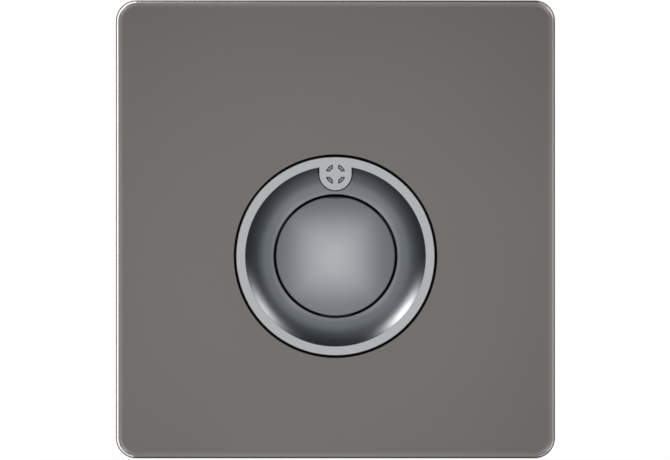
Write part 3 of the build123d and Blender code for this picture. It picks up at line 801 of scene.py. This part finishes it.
def brokenEdges(node):
    # A merged copy of the node's mesh. Its flat faces are joined, then its sharp edges are rounded off.
    mesh = nodes[node].data.copy()
    mesh.name = "edged_" + node
    work = bmesh.new()
    work.from_mesh(mesh)
    bmesh.ops.remove_doubles(work, verts=work.verts, dist=bevelLook["weld"])
    flatAngle = math.radians(bevelLook["flatAngle"])
    bmesh.ops.dissolve_limit(work, angle_limit=flatAngle, verts=work.verts, edges=work.edges)
    work.to_mesh(mesh)
    work.free()
    if "custom_normal" in mesh.attributes:
        mesh.attributes.remove(mesh.attributes["custom_normal"])
    mesh.polygons.foreach_set("use_smooth", np.full(len(mesh.polygons), True))
    piece = bpy.data.objects.new(mesh.name, mesh)
    scene.collection.objects.link(piece)
    bevel = piece.modifiers.new("edges", "BEVEL")
    bevel.width = edgeLook[node]
    bevel.segments = bevelLook["segments"]
    bevel.limit_method = "ANGLE"
    bevel.angle_limit = math.radians(bevelLook["sharpAngle"])
    bevel.harden_normals = True
    standFor(piece, node)


for node in edgeLook:
    brokenEdges(node)
print("edges broken on", len(edgeLook), "pieces")

# Studio: brightness 1 is white
worldLook = {
    # angles off the viewer's axis, in degrees, and how bright the field of light is there
    "field": (
        (0, 1.0), (6, 0.93), (12, 0.81), (18, 0.675), (24, 0.49), (29, 0.36), (32, 0.318), (36, 0.32),
        (45, 0.29), (52, 0.25), (61, 0.205), (70, 0.13), (85, 0.085), (100, 0.085), (118, 0.45),
    ),
    "fieldEnd": 180,
    "squareness": 0.72,
    "squareTo": (54, 76),  # angles over which the field turns round
    "lean": -0.022,  # the field's middle lies a little to the left
    "cool": (0.86, 0.98, 1.08),  # tint of its outer part
    "coolFrom": 60,
    "behind": (0.985, 0.999),  # the white backdrop that metal and clear pieces show
    "tiny": 1e-6,  # keeps the middle of the field from dividing by nothing
}
# Soft glows in the world: where each lies, how far it spreads and how bright its middle is.
# Turn is counted in the plate's plane from +X towards +Z, off is the angle from the viewer's side.
glowLook = {
    "upperLeft": {"turn": 141, "off": 83, "turnSpread": 15.5, "offSpread": 11.5, "bright": 5.8},
    "upperRight": {"turn": 36, "off": 86, "turnSpread": 16, "offSpread": 12, "bright": 3.1},
    "low": {"turn": 270, "off": 50, "turnSpread": 54, "offSpread": 35, "bright": 0.13},
    "leftSide": {"turn": 138, "off": 62, "turnSpread": 40, "offSpread": 11, "bright": 0.15},
    "lowSide": {"turn": 270, "off": 66, "turnSpread": 38, "offSpread": 13, "bright": 0.16},
}


def fieldStops():
    # the field's brightness, cooler the farther off
    stops = []
    for off, level in worldLook["field"]:
        share = min(1.0, off / worldLook["coolFrom"])
        shade = colour(*(level * (1 + share * (tint - 1)) for tint in worldLook["cool"]))
        stops.append((off / worldLook["fieldEnd"], shade))
    return stops


def studioWorld():
    # A bright square field of light round the camera that fades towards the sides, and soft glows, each
    # falling off as exp(-(angle / spread) squared) both ways. The camera sees white all round.
    look = worldLook
    world = bpy.data.worlds.new("studio")
    scene.world = world
    world.use_nodes = True
    world.node_tree.nodes.clear()
    start = Wire(world.node_tree)
    x, y, z = start.node("ShaderNodeTexCoord", out="Generated").parts()
    degrees = math.degrees(1)
    off = start.maths("ARCCOSINE", 0 - y) * degrees
    leaning = x - look["lean"]
    flat = start.maths("SQRT", leaning * leaning + z * z + look["tiny"])
    around = start.maths("ARCTAN2", flat, 0 - y) * degrees
    corner = 1 - start.maths("MAXIMUM", leaning.size(), z.size()) / flat
    fieldOff = around * (1 - look["squareness"] * corner * (1 - around.step(*look["squareTo"])))
    field = start.node("ShaderNodeValToRGB", {"stops": fieldStops()}, {0: fieldOff / look["fieldEnd"]})
    glow = 0
    for spot in glowLook.values():
        turn = math.radians(spot["turn"])
        aside = z * math.cos(turn) - x * math.sin(turn)
        ahead = x * math.cos(turn) + z * math.sin(turn)
        turnAway = start.maths("ARCTAN2", aside, ahead) * (degrees / spot["turnSpread"])
        offAway = (off - spot["off"]) / spot["offSpread"]
        glow = glow + start.maths("EXPONENT", 0 - turnAway * turnAway - offAway * offAway) * spot["bright"]
    fieldLight = start.node("ShaderNodeBackground", {}, {"Color": field, "Strength": 1.0})
    glowLight = start.node("ShaderNodeBackground", {}, {"Color": colour(1, 1, 1), "Strength": glow})
    lit = start.node("ShaderNodeAddShader", {}, {0: fieldLight, 1: glowLight})
    white = start.node("ShaderNodeBackground", {}, {"Color": colour(1, 1, 1), "Strength": 1.0})
    ray = start.node("ShaderNodeLightPath", out="Is Camera Ray")
    mirrored = start.maths("MAXIMUM", ray.pick("Is Glossy Ray"), ray.pick("Is Transmission Ray"))
    seen = start.maths("MAXIMUM", ray, mirrored * y.step(*look["behind"]))
    mixed = start.node("ShaderNodeMixShader", {}, {0: seen, 1: lit, 2: white})
    start.node("ShaderNodeOutputWorld", {}, {"Surface": mixed})


studioWorld()

# Panels round the plate that light its rolled edge alone. Each band runs between two angles off the
# viewer's side and adds its brightness there, so that they step up as the field of light fades.
panelLook = {
    "left": {"turn": 180, "long": 2.0, "bands": ((8, 112, 0.52), (26, 112, 0.62), (81, 112, 7.8))},
    "right": {"turn": 0, "long": 2.0, "bands": ((10, 111, 0.55), (26, 111, 0.38), (66, 111, 1.1))},
    "top": {"turn": 90, "long": 2.0, "bands": ((16, 98, 0.65), (30, 98, 0.35), (55, 98, 0.3))},
    "bottom": {"turn": 270, "long": 2.0, "bands": ((13, 104, 0.42), (27, 105, 0.31), (52, 105, 0.26))},
    "upperLeft": {"turn": 115, "long": 0.73, "bands": ((80, 114, 7.8),)},
    "lowerLeft": {"turn": 241, "long": 0.6, "bands": ((82, 108, 5.5),)},
    "upperRight": {"turn": 43, "long": 1.2, "bands": ((84, 112, 2.8),)},
    "lowerRight": {"turn": 317, "long": 1.2, "bands": ((84, 108, 2.4),)},
}
lampAway = 1.0
lampTint = (0.95, 0.985, 1.0)
rearLook = {"turn": 70, "off": 140, "size": 0.75, "bright": 2.2}  # lights the back, not the plate
plateSet = bpy.data.collections.new("plate_lit")
plateSet.objects.link(nodes["front_plate"])
restSet = bpy.data.collections.new("plate_unlit")
restSet.objects.link(nodes["front_plate"])
restSet.collection_objects[0].light_linking.link_state = "EXCLUDE"


def setLamp(name, turn, off, size, bright, lit):
    # A rectangle of even brightness that faces the middle of the plate
    light = bpy.data.lights.new(name, "AREA")
    light.shape = "RECTANGLE"
    light.color = lampTint
    light.size, light.size_y = size
    light.energy = bright * math.pi * light.size * light.size_y
    lamp = bpy.data.objects.new(name, light)
    scene.collection.objects.link(lamp)
    turn, off = math.radians(turn), math.radians(off)
    out = np.array((math.cos(turn) * math.sin(off), -math.cos(off), math.sin(turn) * math.sin(off)))
    along = np.array((-math.sin(turn), 0.0, math.cos(turn)))
    lamp.location = out * lampAway
    lamp.rotation_mode = "QUATERNION"
    lamp.rotation_quaternion = Matrix(np.stack((along, np.cross(out, along), out), axis=1)).to_quaternion()
    lamp.visible_camera = False
    lamp.light_linking.receiver_collection = lit


for side, look in panelLook.items():
    for index, (low, high, bright) in enumerate(look["bands"]):
        wide = 2 * lampAway * math.tan(math.radians((high - low) / 2))
        setLamp(f"{side}_{index}", look["turn"], (low + high) / 2, (look["long"], wide), bright, plateSet)
rearSize = (rearLook["size"], rearLook["size"])
setLamp("rear", rearLook["turn"], rearLook["off"], rearSize, rearLook["bright"], restSet)
print("lamps set")

floorLook = {
    "half": 3.0,
    "rows": 13,
    "drop": 4 * mm,
    "shade": colour(0.82, 0.82, 0.82),
    "white": 0.6,
    "whiteOver": (0.06, 0.16),  # distances from the object, in metres
}


def paleFloor():
    # A flat sheet under the object. To the camera it turns to plain white a little way off.
    look = floorLook
    steps = np.linspace(-look["half"], look["half"], look["rows"])
    across, along = np.meshgrid(steps, steps, indexing="ij")
    sheet = np.stack((across, along, np.full_like(across, plateLow.z - look["drop"])), axis=-1)
    piece = gridPiece("floor", sheet, around=False)
    piece.visible_glossy = False
    made, start, place = startFinish("pale_floor")
    x, y, z = place.parts()
    far = start.maths("SQRT", x * x + y * y)
    seen = start.node("ShaderNodeLightPath", out="Is Camera Ray")
    white = seen * far.step(*look["whiteOver"]).between(look["white"], 1.0)
    matt = start.node("ShaderNodeBsdfDiffuse", {}, {"Color": look["shade"]})
    glow = start.node("ShaderNodeEmission", {}, {"Color": colour(1, 1, 1), "Strength": 1.0})
    mixed = start.node("ShaderNodeMixShader", {}, {0: white, 1: matt, 2: glow})
    start.node("ShaderNodeOutputMaterial", {}, {"Surface": mixed})
    piece.data.materials.append(made)


paleFloor()

# Camera: straight on, far off, framed by where the plate's edges fall in the 670 by 460 frame
photo = {
    "width": 670,
    "height": 460,
    "left": 115.95,
    "right": 555.0,
    "top": 0.3,
    "bottom": 458.45,
    "away": 1.5,
    "sensor": 36.0,
    "clip": (0.01, 50.0),
}
plateEdge = 1.3 * mm  # the plate is widest this far behind its face


def setCamera():
    metresPerPixel = (plateHigh.x - plateLow.x) / (photo["right"] - photo["left"])
    camera = bpy.data.objects.new("camera", bpy.data.cameras.new("camera"))
    scene.collection.objects.link(camera)
    camera.data.sensor_fit = "HORIZONTAL"
    camera.data.sensor_width = photo["sensor"]
    camera.data.lens = camera.data.sensor_width * photo["away"] / (photo["width"] * metresPerPixel)
    middleX = (photo["left"] + photo["right"]) / 2 - photo["width"] / 2
    middleZ = photo["height"] / 2 - (photo["top"] + photo["bottom"]) / 2
    camera.location = (
        (plateLow.x + plateHigh.x) / 2 - middleX * metresPerPixel,
        plateLow.y + plateEdge - photo["away"],
        (plateLow.z + plateHigh.z) / 2 - middleZ * metresPerPixel,
    )
    camera.rotation_euler = (math.pi / 2, 0, 0)
    camera.data.clip_start, camera.data.clip_end = photo["clip"]
    scene.camera = camera


setCamera()
scene.view_settings.view_transform = "Standard"
print("camera set")
